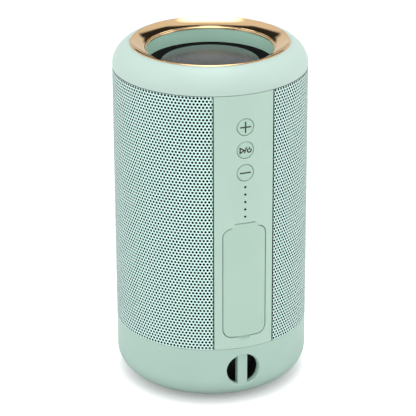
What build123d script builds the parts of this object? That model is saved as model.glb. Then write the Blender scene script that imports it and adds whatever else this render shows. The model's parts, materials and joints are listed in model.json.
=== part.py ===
"""Portable cylindrical bluetooth speaker, built as an assembly.

Frame: millimetres, +Z up, origin on the resting plane at the middle of the rubber foot.
The control panel faces -Y. The two full-range drivers fire along +X and -X behind the grille,
and the passive bass radiator sits in the recess at the top.
"""

from build123d import *
import math
import os

os.makedirs("parts", exist_ok=True)

# ---------------------------------------------------------------- driving dimensions
BODY_R = 40.5            # outside radius of base, grille and top cap
FOOT_PROUD = 0.8         # how far the rubber foot stands below the base
Z_BASE = FOOT_PROUD      # underside of the base cup
Z_BASE_TOP = 26.05       # top rim of the base cup
Z_GRILLE_0 = 26.2        # grille bottom edge
Z_GRILLE_1 = 137.5       # grille top edge
Z_CAP_BOTTOM = 137.65    # lower edge of the top cap
CORNER_A = 13.7          # base corner, radial semi-axis
CORNER_B = 11.2          # base corner, vertical semi-axis
BASE_WALL = 2.5
RING_R = 33.3            # outside radius of the metal-look trim ring
RING_Z = 147.9           # height of the trim ring's outer edge
CREST_R = 32.35
CREST_Z = 148.3          # highest point of the speaker
WELL_R = 26.5            # radius of the recess above the radiator
SHEET_T = 0.6            # grille sheet thickness
PANEL_ANGLE = 18.5       # half angle of the control panel
GRILLE_ANGLE = 18.85     # half angle of the gap in the grille
PANEL_IN_R = 38.3

BUTTON_Z = (123.85, 114.05, 104.25)   # volume up, play, volume down
BUTTON_R = 3.48
BUTTON_BORE_R = 3.7
BUTTON_TRAVEL = 0.5
DOT_Z = (98.05, 94.8, 91.55, 88.3)    # four indicator pins
MIC_Z = 85.1
DOT_R = 0.5

DOOR_Z = 55.85           # middle height of the port door
DOOR_OPEN_W, DOOR_OPEN_H, DOOR_OPEN_R = 19.1, 49.3, 4.0
DOOR_GAP = 0.37
DOOR_T = 1.6
STRAP_W = 11.3
SLOT_W = 8.8
HINGE_Z = 80.9

LAN_X = -0.55            # lanyard eye
LAN_Z = 15.65
LAN_R = 7.15
LAN_BAR_W = 4.4
LAN_SINK = 1.2
LIP_FILLET = 0.45

HOUSE_R = 39.3
HOUSE_IN_R = 36.8
HOUSE_TOP = 134.0
FRONT_FLAT = 36.2        # the housing is flat behind the panel
FRONT_WALL = 2.5
DRV_Z = 103.0
DRV_FLAT = 26.4          # plane the drivers are screwed to
DRV_WALL = 2.5

FOOT_IN, FOOT_OUT, FOOT_T = 16.0, 24.0, 1.8


def wedge(half_angle, reach=70.0):
    """Points of a triangle that opens towards -Y with the given half angle."""
    w = reach * math.tan(math.radians(half_angle))
    return [(0, 0), (-w, -reach), (w, -reach)]


def driver_plane(side):
    """Profile plane of a driver: local x is the radius, local y points out of the baffle."""
    return Plane(
        origin=(side * DRV_FLAT, 0, DRV_Z), x_dir=(0, 1, 0), z_dir=(0, 0, -side)
    )


def dome_mid(r, z_edge, z_apex):
    """Middle point of a spherical cap's profile from (r, z_edge) up to (0, z_apex)."""
    rise = z_apex - z_edge
    big = (r * r + rise * rise) / (2 * rise)
    return (r / 2, z_apex - (big - math.sqrt(big * big - r * r / 4)))


def driver_axis(side):
    return Axis((side * DRV_FLAT, 0, DRV_Z), (side, 0, 0))


def driver_face(side, height=0.0):
    """Plane parallel to the baffle, height above it, looking out."""
    return Plane(
        origin=(side * (DRV_FLAT + height), 0, DRV_Z), x_dir=(0, 1, 0), z_dir=(side, 0, 0)
    )


# ---------------------------------------------------------------- base
with BuildPart() as cup_cavity:
    # room inside the base cup, a hair smaller than the real cavity
    with BuildSketch(Plane.XZ):
        with BuildLine():
            za = Z_BASE + CORNER_B
            rc = BODY_R - CORNER_A
            a, b = CORNER_A - BASE_WALL - 0.12, CORNER_B - BASE_WALL - 0.12
            Polyline((rc, za - b), (0, za - b), (0, 24.4), (rc + a, 24.4), (rc + a, za))
            EllipticalCenterArc((rc, za), a, b, 270, arc_size=90)
        make_face()
    revolve(axis=Axis.Z)

with BuildPart() as eye_recess:
    # shallow round sinking of the lanyard eye, with a curved floor
    with BuildSketch(Plane.XZ.offset(30)):
        with Locations((LAN_X, LAN_Z)):
            Circle(LAN_R)
    extrude(amount=12)
    with BuildSketch(Plane.XY.offset(0)):
        Circle(BODY_R - LAN_SINK)
    extrude(amount=40, mode=Mode.SUBTRACT)

with BuildPart() as base_cup:
    with BuildSketch(Plane.XZ):
        with BuildLine():
            za = Z_BASE + CORNER_B
            rc = BODY_R - CORNER_A
            Line((0, Z_BASE), (rc, Z_BASE))
            EllipticalCenterArc((rc, za), CORNER_A, CORNER_B, 270, arc_size=90)
            Polyline(
                (BODY_R, za),
                (BODY_R, Z_BASE_TOP - 0.2),
                (BODY_R - 0.2, Z_BASE_TOP),
                (BODY_R - BASE_WALL, Z_BASE_TOP),
                (BODY_R - BASE_WALL, za),
            )
            EllipticalCenterArc((rc, za), CORNER_A - BASE_WALL, CORNER_B - BASE_WALL, 270, arc_size=90)
            Polyline((rc, Z_BASE + BASE_WALL), (0, Z_BASE + BASE_WALL), (0, Z_BASE))
        make_face()
    revolve(axis=Axis.Z)
    # screw towers
    with BuildSketch(Plane.XY.offset(Z_BASE + 1)):
        with PolarLocations(20, 4, start_angle=45):
            Circle(4.2)
    extrude(amount=Z_BASE_TOP - Z_BASE - 1)
    # seat of the rubber foot
    with BuildSketch(Plane.XY.offset(Z_BASE)):
        Circle(FOOT_OUT + 0.1)
        Circle(FOOT_IN - 0.1, mode=Mode.SUBTRACT)
    extrude(amount=1.0, mode=Mode.SUBTRACT)
    with BuildSketch(Plane.XY.offset(Z_BASE)):
        with PolarLocations(20, 4, start_angle=45):
            Circle(3.0)
    extrude(amount=17.2, mode=Mode.SUBTRACT)
    with BuildSketch(Plane.XY.offset(Z_BASE)):
        with PolarLocations(20, 4, start_angle=45):
            Circle(1.6)
    extrude(amount=30, mode=Mode.SUBTRACT)
    # thickening behind the lanyard bar
    with BuildSketch(Plane.XZ.offset(36.4)):
        with Locations((LAN_X, LAN_Z)):
            Rectangle(LAN_BAR_W, 2 * (LAN_R - 0.3))
    extrude(amount=2.4)
    add(eye_recess.part, mode=Mode.SUBTRACT)
    # soft lip of the eye
    lip = [
        e
        for e in base_cup.edges()
        if abs(e.center().Y + 40) < 1.6
        and abs(e.center().Z - LAN_Z) < 9
        and abs(e.center().X) < 9
        and e.bounding_box().max.Y < -36
        and min(
            math.hypot((e @ 0.3).X, (e @ 0.3).Y), math.hypot((e @ 0.7).X, (e @ 0.7).Y)
        ) > BODY_R - LAN_SINK + 0.3
    ]
    fillet(lip, LIP_FILLET)
    # the two half-round windows beside the bar
    with BuildSketch(Plane.XZ.offset(30)):
        with Locations((LAN_X, LAN_Z)):
            Circle(LAN_R - 0.3)
            Rectangle(LAN_BAR_W, 20, mode=Mode.SUBTRACT)
    extrude(amount=12, mode=Mode.SUBTRACT)
    # rounded front edges of the bar
    bar = [
        e
        for e in base_cup.edges().filter_by(Axis.Z)
        if abs(abs(e.center().X - LAN_X) - LAN_BAR_W / 2) < 0.02 and e.center().Y < -38.9
    ]
    fillet(bar, 0.4)

with BuildPart() as lanyard_pocket:
    with BuildSketch(Plane.XZ.offset(29.0)):
        with Locations((LAN_X, LAN_Z)):
            Circle(8.45)
    extrude(amount=12)
    with BuildSketch(Plane.XZ.offset(30.5)):
        with Locations((LAN_X, LAN_Z)):
            Circle(7.25)
    extrude(amount=12, mode=Mode.SUBTRACT)
    add(cup_cavity.part, mode=Mode.INTERSECT)

with BuildPart() as foot_ring:
    with BuildSketch(Plane.XY):
        Circle(FOOT_OUT)
        Circle(FOOT_IN, mode=Mode.SUBTRACT)
    extrude(amount=FOOT_T)
    chamfer(foot_ring.edges().filter_by(GeomType.CIRCLE).group_by(Axis.Z)[0], 0.35)

with BuildPart() as base_screws:
    with BuildSketch(Plane.XY.offset(16.0)):
        with PolarLocations(20, 4, start_angle=45):
            Circle(2.7)
    extrude(amount=2.0)
    with BuildSketch(Plane.XY.offset(18.0)):
        with PolarLocations(20, 4, start_angle=45):
            Circle(1.45)
    extrude(amount=11.8)
    with BuildSketch(Plane.XY.offset(16.0)):
        with PolarLocations(20, 4, start_angle=45):
            Rectangle(2.6, 0.5)
            Rectangle(0.5, 2.6)
    extrude(amount=1.1, mode=Mode.SUBTRACT)

# ---------------------------------------------------------------- acoustic housing
with BuildPart() as housing:
    with BuildSketch(Plane.XY.offset(Z_GRILLE_0)):
        Circle(HOUSE_R)
    extrude(amount=HOUSE_TOP - Z_GRILLE_0)
    with BuildSketch(Plane.XY.offset(24.6)):
        Circle(37.9)
        Circle(35.4, mode=Mode.SUBTRACT)
    extrude(amount=Z_GRILLE_0 - 24.6)
    with Locations((0, -FRONT_FLAT - 5, 80)):
        Box(90, 10, 200, mode=Mode.SUBTRACT)
    # driver flats
    for side in (-1, 1):
        with Locations((side * (DRV_FLAT + 10), 0, DRV_Z)):
            Box(20, 90, 52.6, mode=Mode.SUBTRACT)
    # lower room
    with BuildSketch(Plane.XY.offset(31.2)):
        Circle(HOUSE_IN_R)
        with Locations((0, -FRONT_FLAT + FRONT_WALL - 10)):
            Rectangle(90, 20, mode=Mode.SUBTRACT)
    extrude(amount=74.5 - 31.2, mode=Mode.SUBTRACT)
    # upper room, between the driver flats
    with BuildSketch(Plane.XY.offset(74.0)):
        Circle(HOUSE_IN_R)
        with Locations((0, -FRONT_FLAT + FRONT_WALL - 10)):
            Rectangle(90, 20, mode=Mode.SUBTRACT)
        with Locations((-DRV_FLAT + DRV_WALL - 10, 0), (DRV_FLAT - DRV_WALL + 10, 0)):
            Rectangle(20, 90, mode=Mode.SUBTRACT)
    extrude(amount=131.5 - 74.0, mode=Mode.SUBTRACT)
    # mouth under the radiator
    with BuildSketch(Plane.XY.offset(131.0)):
        Circle(27.0)
    extrude(amount=10, mode=Mode.SUBTRACT)
    # driver mouths and their pilot holes
    for side in (-1, 1):
        with BuildSketch(driver_face(side, -DRV_WALL - 1)):
            Circle(22.5)
            with PolarLocations(24.3, 4, start_angle=45):
                Circle(0.95)
        extrude(amount=DRV_WALL + 2, mode=Mode.SUBTRACT)
    # radiator screw pilots
    with BuildSketch(Plane.XY.offset(129.0)):
        with PolarLocations(32.3, 4, start_angle=45):
            Circle(1.15)
    extrude(amount=6, mode=Mode.SUBTRACT)
    # base screw pilots
    with BuildSketch(Plane.XY.offset(26.0)):
        with PolarLocations(20, 4, start_angle=45):
            Circle(1.5)
    extrude(amount=4.2, mode=Mode.SUBTRACT)
    # posts for the key board
    with BuildSketch(Plane.XZ.offset(31.25)):
        with Locations((-7.6, 86.5), (7.6, 86.5), (-7.6, 127.6), (7.6, 127.6)):
            Circle(1.9)
    extrude(amount=3.0)
    with BuildSketch(Plane.XZ.offset(31.2)):
        with Locations((-7.6, 86.5), (7.6, 86.5), (-7.6, 127.6), (7.6, 127.6)):
            Circle(0.85)
    extrude(amount=3.4, mode=Mode.SUBTRACT)
    # window for the port tray, holes for key stems, light guide and microphone
    with BuildSketch(Plane.XZ.offset(30)):
        with Locations((0, DOOR_Z)):
            RectangleRounded(17.4, 45.7, 2.2)
        with Locations(*[(0, z) for z in BUTTON_Z]):
            Circle(2.0)
        with Locations((0, (DOT_Z[0] + DOT_Z[-1]) / 2)):
            Rectangle(2.8, 13.0)
        with Locations((0, MIC_Z)):
            Circle(0.7)
    extrude(amount=10, mode=Mode.SUBTRACT)

# ---------------------------------------------------------------- grille and cloth
with BuildPart() as grille:
    with BuildSketch(Plane.XY.offset(Z_GRILLE_0)):
        Circle(BODY_R)
        Circle(BODY_R - SHEET_T, mode=Mode.SUBTRACT)
        with BuildLine():
            Polyline(*wedge(GRILLE_ANGLE), close=True)
        make_face(mode=Mode.SUBTRACT)
    extrude(amount=Z_GRILLE_1 - Z_GRILLE_0)
    # the two edges beside the panel fold inwards
    for side in (-1, 1):
        t = math.radians(GRILLE_ANGLE)
        ux, uy = side * math.sin(t), -math.cos(t)
        vx, vy = side * math.cos(t), math.sin(t)
        r0, r1 = 38.5, BODY_R - SHEET_T + 0.1
        with BuildSketch(Plane.XY.offset(Z_GRILLE_0)):
            with BuildLine():
                Polyline(
                    (r0 * ux, r0 * uy),
                    (r1 * ux, r1 * uy),
                    (r1 * ux + SHEET_T * vx, r1 * uy + SHEET_T * vy),
                    (r0 * ux + SHEET_T * vx, r0 * uy + SHEET_T * vy),
                    close=True,
                )
            make_face()
        extrude(amount=134.2 - Z_GRILLE_0)

with BuildPart() as acoustic_cloth:
    with BuildSketch(Plane.XY.offset(26.6)):
        Circle(39.8)
        Circle(39.4, mode=Mode.SUBTRACT)
        with BuildLine():
            Polyline(*wedge(20.4), close=True)
        make_face(mode=Mode.SUBTRACT)
    extrude(amount=110.3)

# ---------------------------------------------------------------- control panel
with BuildPart() as control_panel:
    with BuildSketch(Plane.XY.offset(Z_GRILLE_0)):
        with BuildLine():
            Polyline(*wedge(PANEL_ANGLE), close=True)
        make_face()
        Circle(BODY_R, mode=Mode.INTERSECT)
        Circle(PANEL_IN_R, mode=Mode.SUBTRACT)
    extrude(amount=Z_GRILLE_1 - Z_GRILLE_0)
    with BuildSketch(Plane.XZ.offset(30)):
        with Locations(*[(0, z) for z in BUTTON_Z]):
            Circle(BUTTON_BORE_R)
        with Locations(*[(0, z) for z in (*DOT_Z, MIC_Z)]):
            Circle(DOT_R)
        with Locations((0, DOOR_Z)):
            RectangleRounded(DOOR_OPEN_W, DOOR_OPEN_H, DOOR_OPEN_R)
        # seat of the door's strap, and the slot that its tongue passes through
        with Locations((0, 80.1)):
            Rectangle(STRAP_W + 0.1, 3.4)
        with Locations((0, 81.8)):
            Rectangle(SLOT_W, 1.3)
    extrude(amount=12, mode=Mode.SUBTRACT)
    # the top end is thinner, where it laps over the skirt of the top cap
    with BuildSketch(Plane.XY.offset(134.2)):
        Circle(39.4)
    extrude(amount=5, mode=Mode.SUBTRACT)
    # fingernail scoop under the door
    with Locations((0, -BODY_R - 3.95, DOOR_Z - DOOR_OPEN_H / 2 + 2.65)):
        Sphere(6.0, mode=Mode.SUBTRACT)

with BuildPart() as panel_lips:
    # the same panel with every edge of its openings softened at the outer face
    add(control_panel.part)
    inner = [
        e
        for e in panel_lips.edges()
        if all(abs(math.hypot((e @ t).X, (e @ t).Y) - BODY_R) < 0.01 for t in (0, 0.35, 0.5, 1))
        and abs(math.degrees(math.atan2(e.center().X, -e.center().Y))) < 17.0
        and 27.5 < e.center().Z < 136.0
    ]
    pins = [e for e in inner if e.length < 4.0 and abs(e.center().X) < 0.6 and e.center().Z > 84]
    rest = [
        e for e in inner
        if e not in pins and not (e.center().Z < 31.6 and e.length < 12.0)
    ]
    fillet(pins, 0.1)
    rims = [e for e in rest if e.center().Z > 99]
    fillet(rims, 0.12)
    # the long sides and the top edge of the panel are rounded
    sides = [
        e
        for e in panel_lips.edges()
        if abs(math.hypot(e.center().X, e.center().Y) - BODY_R) < 0.02
        and abs(abs(math.degrees(math.atan2(e.center().X, -e.center().Y))) - PANEL_ANGLE) < 0.05
        and e.length > 60
    ]
    fillet(sides, 0.3)
    crown = [
        e
        for e in panel_lips.edges()
        if abs(e.center().Z - Z_GRILLE_1) < 0.01 and e.length > 15
        and math.hypot((e @ 0).X, (e @ 0).Y) > BODY_R - 0.05
    ]
    fillet(crown, 0.2)
control_panel = panel_lips

with BuildPart() as key_gasket:
    with BuildSketch(Plane.XZ.offset(FRONT_FLAT + 0.02)):
        with Locations((0, 107.1)):
            RectangleRounded(21.0, 46.6, 2.0)
        with Locations(*[(0, z) for z in BUTTON_Z]):
            Circle(4.6, mode=Mode.SUBTRACT)
        with Locations((0, (DOT_Z[0] + DOT_Z[-1]) / 2)):
            Rectangle(2.8, 13.0, mode=Mode.SUBTRACT)
        with Locations((0, MIC_Z)):
            Circle(0.9, mode=Mode.SUBTRACT)
    extrude(amount=0.5)

with BuildPart() as light_guide:
    with BuildSketch(Plane.XZ.offset(32.2)):
        with Locations((0, (DOT_Z[0] + DOT_Z[-1]) / 2)):
            Rectangle(2.2, 12.2)
    extrude(amount=5.9)
    with BuildSketch(Plane.XZ.offset(37.0)):
        with Locations(*[(0, z) for z in DOT_Z]):
            Circle(DOT_R - 0.03)
    extrude(amount=BODY_R - 0.15 - 37.0)

with BuildPart() as key_board:
    with BuildSketch(Plane.XZ.offset(30.0)):
        with Locations((0, 106.6)):
            RectangleRounded(19.0, 47.0, 1.0)
        with Locations((-7.6, 86.5), (7.6, 86.5), (-7.6, 127.6), (7.6, 127.6)):
            Circle(1.0, mode=Mode.SUBTRACT)
    extrude(amount=1.2)

with BuildPart() as tact_switches:
    with BuildSketch(Plane.XZ.offset(31.2)):
        with Locations(*[(0, z) for z in BUTTON_Z]):
            Rectangle(6.0, 6.0)
    extrude(amount=1.4)
    with BuildSketch(Plane.XZ.offset(31.4)):
        with Locations(*[(0, z) for z in BUTTON_Z]):
            Circle(1.15)
    extrude(amount=2.0, mode=Mode.SUBTRACT)

with BuildPart() as status_leds:
    with BuildSketch(Plane.XZ.offset(31.2)):
        with Locations(*[(0, z) for z in DOT_Z]):
            Rectangle(1.6, 0.9)
    extrude(amount=0.7)

with BuildPart() as microphone:
    with BuildSketch(Plane.XZ.offset(31.2)):
        with Locations((0, MIC_Z)):
            Rectangle(4.0, 2.4)
    extrude(amount=1.1)
    with BuildSketch(Plane.XZ.offset(31.6)):
        with Locations((0, MIC_Z)):
            Circle(0.35)
    extrude(amount=2.0, mode=Mode.SUBTRACT)


def build_button(z):
    with BuildPart() as button:
        with BuildSketch(Plane.XZ.offset(37.15)):
            with Locations((0, z)):
                Circle(BUTTON_R)
        extrude(amount=5)
        with BuildSketch(Plane.XY.offset(z - 8)):
            Circle(BODY_R)
        extrude(amount=16, mode=Mode.INTERSECT)
        with BuildSketch(Plane.XZ.offset(37.15)):
            with Locations((0, z)):
                Circle(4.3)
        extrude(amount=0.8)
        with BuildSketch(Plane.XZ.offset(33.15)):
            with Locations((0, z)):
                Circle(1.5)
        extrude(amount=4.2)
        crown = [
            e for e in button.edges()
            if all(abs(math.hypot((e @ t).X, (e @ t).Y) - BODY_R) < 0.01 for t in (0, 0.3, 0.7))
        ]
        fillet(crown, 0.35)
    return button


def build_plunger(z):
    with BuildPart() as plunger:
        with BuildSketch(Plane.XZ.offset(32.0)):
            with Locations((0, z)):
                Circle(1.0)
        extrude(amount=1.1)
    return plunger


volume_up_button = build_button(BUTTON_Z[0])
play_button = build_button(BUTTON_Z[1])
volume_down_button = build_button(BUTTON_Z[2])
volume_up_plunger = build_plunger(BUTTON_Z[0])
play_plunger = build_plunger(BUTTON_Z[1])
volume_down_plunger = build_plunger(BUTTON_Z[2])

# ---------------------------------------------------------------- port door
with BuildPart() as door_shell:
    with BuildSketch(Plane.XY.offset(20)):
        Circle(BODY_R)
        Circle(BODY_R - DOOR_T, mode=Mode.SUBTRACT)
    extrude(amount=80)

with BuildPart() as port_cover:
    with BuildSketch(Plane.XZ.offset(30)):
        with Locations((0, DOOR_Z)):
            RectangleRounded(
                DOOR_OPEN_W - 2 * DOOR_GAP, DOOR_OPEN_H - 2 * DOOR_GAP, DOOR_OPEN_R - DOOR_GAP
            )
    extrude(amount=12)
    add(door_shell.part, mode=Mode.INTERSECT)
    with BuildSketch(Plane.XZ.offset(35.6)):
        with Locations((0, DOOR_Z)):
            RectangleRounded(14.2, 42.3, 2.2)
            RectangleRounded(12.0, 40.1, 1.2, mode=Mode.SUBTRACT)
    extrude(amount=3.4)
    rim = [
        e for e in port_cover.edges()
        if all(abs(math.hypot((e @ t).X, (e @ t).Y) - BODY_R) < 0.01 for t in (0, 0.3, 0.7, 1))
    ]
    fillet(rim, 0.15)

with BuildPart() as cover_strap:
    # flexible tongue that carries the door, and its anchor behind the panel
    with BuildSketch(Plane.XZ.offset(30)):
        with Locations((0, 80.975)):
            Rectangle(STRAP_W, 1.55)
    extrude(amount=12)
    with BuildSketch(Plane.XY.offset(78)):
        Circle(BODY_R - 0.02)
        Circle(BODY_R - 1.0, mode=Mode.SUBTRACT)
    extrude(amount=6, mode=Mode.INTERSECT)
    with Locations((0, -38.2, 81.25)):
        Box(SLOT_W - 0.2, 3.0, 0.96)
    with Locations((0, -37.05, 82.1)):
        Box(11.6, 0.8, 2.7)

with BuildPart() as port_tray:
    with BuildSketch(Plane.XZ.offset(36.7)):
        with Locations((0, DOOR_Z)):
            RectangleRounded(18.8, 48.9, 3.9)
    extrude(amount=0.9)
    with BuildSketch(Plane.XZ.offset(31.2)):
        with Locations((0, DOOR_Z)):
            RectangleRounded(17.0, 45.3, 2.0)
    extrude(amount=5.6)
    with BuildSketch(Plane.XZ.offset(32.5)):
        with Locations((0, DOOR_Z)):
            RectangleRounded(15.0, 43.3, 1.4)
    extrude(amount=6, mode=Mode.SUBTRACT)
    with BuildSketch(Plane.XZ.offset(30)):
        with Locations((0, 70.5)):
            Circle(3.15)
        with Locations((1.95, 55.5)):
            Rectangle(2.0, 14.8)
        with Locations((1.15, 40.0)):
            RectangleRounded(3.5, 9.3, 1.6)
    extrude(amount=4, mode=Mode.SUBTRACT)

with BuildPart() as tray_gasket:
    with BuildSketch(Plane.XZ.offset(FRONT_FLAT + 0.02)):
        with Locations((0, DOOR_Z)):
            RectangleRounded(18.8, 48.7, 3.8)
            RectangleRounded(17.3, 45.6, 2.1, mode=Mode.SUBTRACT)
    extrude(amount=0.46)

with BuildPart() as port_board:
    with Locations((3.5, -21.0, 55.6)):
        Box(1.2, 18.4, 43.6)

with BuildPart() as aux_jack:
    with BuildSketch(Plane.XZ.offset(30.9)):
        with Locations((0, 70.5)):
            Circle(3.0)
    extrude(amount=1.6)
    with Locations((-0.1, -24.2, 70.5)):
        Box(5.9, 13.4, 6.0)
    with BuildSketch(Plane.XZ.offset(18.9)):
        with Locations((0, 70.5)):
            Circle(1.8)
    extrude(amount=14, mode=Mode.SUBTRACT)

with BuildPart() as card_slot:
    with Locations((1.95, -24.7, 55.5)):
        Box(1.8, 15.6, 14.6)
    with Locations((1.95, -26.0, 55.5)):
        Box(0.8, 14.0, 11.3, mode=Mode.SUBTRACT)

with BuildPart() as usb_socket:
    with BuildSketch(Plane.XZ.offset(24.8)):
        with Locations((1.15, 40.0)):
            RectangleRounded(3.3, 9.0, 1.55)
    extrude(amount=7.7)
    with BuildSketch(Plane.XZ.offset(25.6)):
        with Locations((1.15, 40.0)):
            RectangleRounded(2.6, 8.3, 1.25)
            Rectangle(0.7, 6.7, mode=Mode.SUBTRACT)
    extrude(amount=8, mode=Mode.SUBTRACT)
    with Locations((1.15, -32.0, 40.0)):
        Box(0.8, 2.4, 6.8, mode=Mode.SUBTRACT)

# ---------------------------------------------------------------- power and electronics
with BuildPart() as battery_cells:
    with BuildSketch(Plane.YZ.offset(-32.5)):
        with Locations((3.0, 41.2), (3.0, 60.2)):
            Circle(9.15)
    extrude(amount=64.2)
    with BuildSketch(Plane.YZ.offset(31.7)):
        with Locations((3.0, 41.2), (3.0, 60.2)):
            Circle(2.8)
    extrude(amount=0.8)

with BuildPart() as battery_holder:
    with Locations((0, 13.2, 50.9)):
        Box(58, 1.4, 38.8)
    with Locations((0, 3.2, 31.55)):
        Box(40, 18.8, 0.6)
    with Locations((0, 6.4, 69.85)):
        Box(40, 12.6, 0.8)

with BuildPart() as pcb_spacers:
    with BuildSketch(Plane.XZ.offset(-16.0)):
        with Locations((-21, 35.5), (21, 35.5), (-21, 66.5), (21, 66.5)):
            Circle(2.2)
            Circle(1.1, mode=Mode.SUBTRACT)
    extrude(amount=2.08)

with BuildPart() as main_board:
    with Locations((0, 16.85, 52.5)):
        Box(48, 1.6, 40.0)
    with BuildSketch(Plane.XZ.offset(-18)):
        with Locations((-21, 35.5), (21, 35.5), (-21, 66.5), (21, 66.5)):
            Circle(1.1)
    extrude(amount=3, mode=Mode.SUBTRACT)

with BuildPart() as bluetooth_module:
    with Locations((-4, 18.75, 62.5)):
        Box(13.0, 2.1, 17.0)

with BuildPart() as amplifier_chip:
    with Locations((10, 18.4, 58.0)):
        Box(7.8, 1.4, 6.4)

with BuildPart() as capacitors:
    with BuildSketch(Plane.XZ.offset(-17.7)):
        with Locations((3, 40), (11, 40), (18, 47)):
            Circle(3.15)
    extrude(amount=-7.7)

with BuildPart() as board_screws:
    with BuildSketch(Plane.XZ.offset(-17.67)):
        with Locations((-21, 35.5), (21, 35.5), (-21, 66.5), (21, 66.5)):
            Circle(1.9)
    extrude(amount=-1.3)
    with BuildSketch(Plane.XZ.offset(-17.7)):
        with Locations((-21, 35.5), (21, 35.5), (-21, 66.5), (21, 66.5)):
            Circle(0.95)
    extrude(amount=3.6)
    with BuildSketch(Plane.XZ.offset(28.8)):
        with Locations((-7.6, 86.5), (7.6, 86.5), (-7.6, 127.6), (7.6, 127.6)):
            Circle(1.7)
    extrude(amount=1.18)
    with BuildSketch(Plane.XZ.offset(29.8)):
        with Locations((-7.6, 86.5), (7.6, 86.5), (-7.6, 127.6), (7.6, 127.6)):
            Circle(0.8)
    extrude(amount=4.3)


def build_lead(points, radii, radius):
    with BuildPart() as lead:
        with BuildLine() as path:
            FilletPolyline(*points, radius=radii)
        with BuildSketch(Plane(origin=path.line @ 0, z_dir=path.line % 0)):
            Circle(radius)
        sweep()
    return lead


with BuildPart() as lead_connectors:
    for side in (-1, 1):
        with Locations((side * 16, 19.85, 68.6)):
            Box(5.6, 4.3, 4.7)

lead_right = build_lead([(16, 20.5, 71.0), (16, 20.5, 79.0), (20.2, 16.6, 88.0)], [6.0], 0.75)
lead_left = build_lead([(-16, 20.5, 71.0), (-16, 20.5, 79.0), (-20.2, 16.6, 88.0)], [6.0], 0.75)
with BuildPart() as speaker_leads:
    add(lead_right.part)
    add(lead_left.part)

# ---------------------------------------------------------------- drivers
with BuildPart() as driver_gaskets:
    for side in (-1, 1):
        with BuildSketch(driver_face(side)):
            Circle(26.0)
            Circle(22.6, mode=Mode.SUBTRACT)
            with PolarLocations(24.3, 4, start_angle=45):
                Circle(1.1, mode=Mode.SUBTRACT)
        extrude(amount=0.58)

with BuildPart() as driver_screws:
    for side in (-1, 1):
        with BuildSketch(driver_face(side, 1.82)):
            with PolarLocations(24.3, 4, start_angle=45):
                Circle(1.6)
        extrude(amount=1.0)
        with BuildSketch(driver_face(side, -4.0)):
            with PolarLocations(24.3, 4, start_angle=45):
                Circle(0.88)
        extrude(amount=6.0)


def build_basket(side):
    with BuildPart() as basket:
        with BuildSketch(driver_plane(side)):
            with BuildLine():
                Polyline(
                    (26.0, 1.8), (26.0, 0.6), (22.3, 0.6), (22.0, -2.6), (15.5, -9.4),
                    (15.5, -10.6), (7.6, -10.6), (7.6, -9.6), (14.7, -9.6), (21.1, -2.2),
                    (21.3, 1.8), close=True,
                )
            make_face()
        revolve(axis=driver_axis(side))
        with BuildSketch(driver_face(side, -9.0)):
            with PolarLocations(18.2, 4):
                Rectangle(9.0, 11.0)
        extrude(amount=6.2, mode=Mode.SUBTRACT)
        with BuildSketch(driver_face(side, -1)):
            with PolarLocations(24.3, 4, start_angle=45):
                Circle(1.0)
        extrude(amount=4, mode=Mode.SUBTRACT)
    return basket


def build_magnet(side):
    """Top plate, ring magnet and yoke: three solids, glued in a stack."""
    with BuildPart() as magnet:
        for profile in (
            [(7.05, -10.62), (14.0, -10.62), (14.0, -12.6), (7.05, -12.6)],
            [(8.6, -12.61), (15.2, -12.61), (15.2, -17.59), (8.6, -17.59)],
            [(0, -10.8), (6.0, -10.8), (6.0, -17.6), (14.0, -17.6), (14.0, -19.4), (0, -19.4)],
        ):
            with BuildSketch(driver_plane(side)):
                with BuildLine():
                    Polyline(*profile, close=True)
                make_face()
            revolve(axis=driver_axis(side))
    return magnet


def build_cone(side):
    """Cone, voice coil former and dust cap move as one."""
    with BuildPart() as cone:
        with BuildSketch(driver_plane(side)):
            with BuildLine():
                Polyline(
                    (18.5, 1.3), (18.5, 0.9), (7.1, -5.2), (6.75, -5.2), (6.75, -14.2),
                    (6.45, -14.2), (6.45, -4.9), (6.9, -4.6), (7.4, -4.3),
                )
                ThreePointArc((7.4, -4.3), dome_mid(7.4, -4.3, -2.2), (0, -2.2))
                Polyline((0, -2.2), (0, -1.7))
                ThreePointArc((0, -1.7), dome_mid(8.0, -4.0, -1.7), (8.0, -4.0))
                Line((8.0, -4.0), (18.5, 1.3))
            make_face()
        revolve(axis=driver_axis(side))
    return cone


def build_driver_surround(side):
    with BuildPart() as surround:
        with BuildSketch(driver_plane(side)):
            with Locations((18.05, 1.62)):
                Rectangle(1.3, 0.44)
            with Locations((22.1, 2.05)):
                Rectangle(1.2, 0.44)
            with BuildLine():
                Line((18.3, 1.42), (18.3, 1.84))
                ThreePointArc((18.3, 1.84), (20.1, 3.5), (21.8, 2.27))
                Line((21.8, 2.27), (21.8, 1.84))
                ThreePointArc((21.8, 1.84), (20.1, 3.05), (18.7, 1.42))
                Line((18.7, 1.42), (18.3, 1.42))
            make_face()
        revolve(axis=driver_axis(side))
    return surround


def build_spider(side):
    with BuildPart() as spider:
        with BuildSketch(driver_plane(side)):
            with BuildLine():
                Polyline(
                    (6.82, -6.9), (8.6, -6.9), (9.6, -6.3), (10.6, -7.3), (11.6, -6.3),
                    (12.6, -7.3), (13.6, -6.3), (14.4, -6.9), (16.5, -6.9), (16.5, -7.3),
                    (14.2, -7.3), (13.6, -6.8), (12.6, -7.8), (11.6, -6.8), (10.6, -7.8),
                    (9.6, -6.8), (8.8, -7.3), (6.82, -7.3), close=True,
                )
            make_face()
        revolve(axis=driver_axis(side))
    return spider


left_basket, right_basket = build_basket(-1), build_basket(1)
left_magnet, right_magnet = build_magnet(-1), build_magnet(1)
left_cone, right_cone = build_cone(-1), build_cone(1)
left_surround, right_surround = build_driver_surround(-1), build_driver_surround(1)
left_spider, right_spider = build_spider(-1), build_spider(1)

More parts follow.
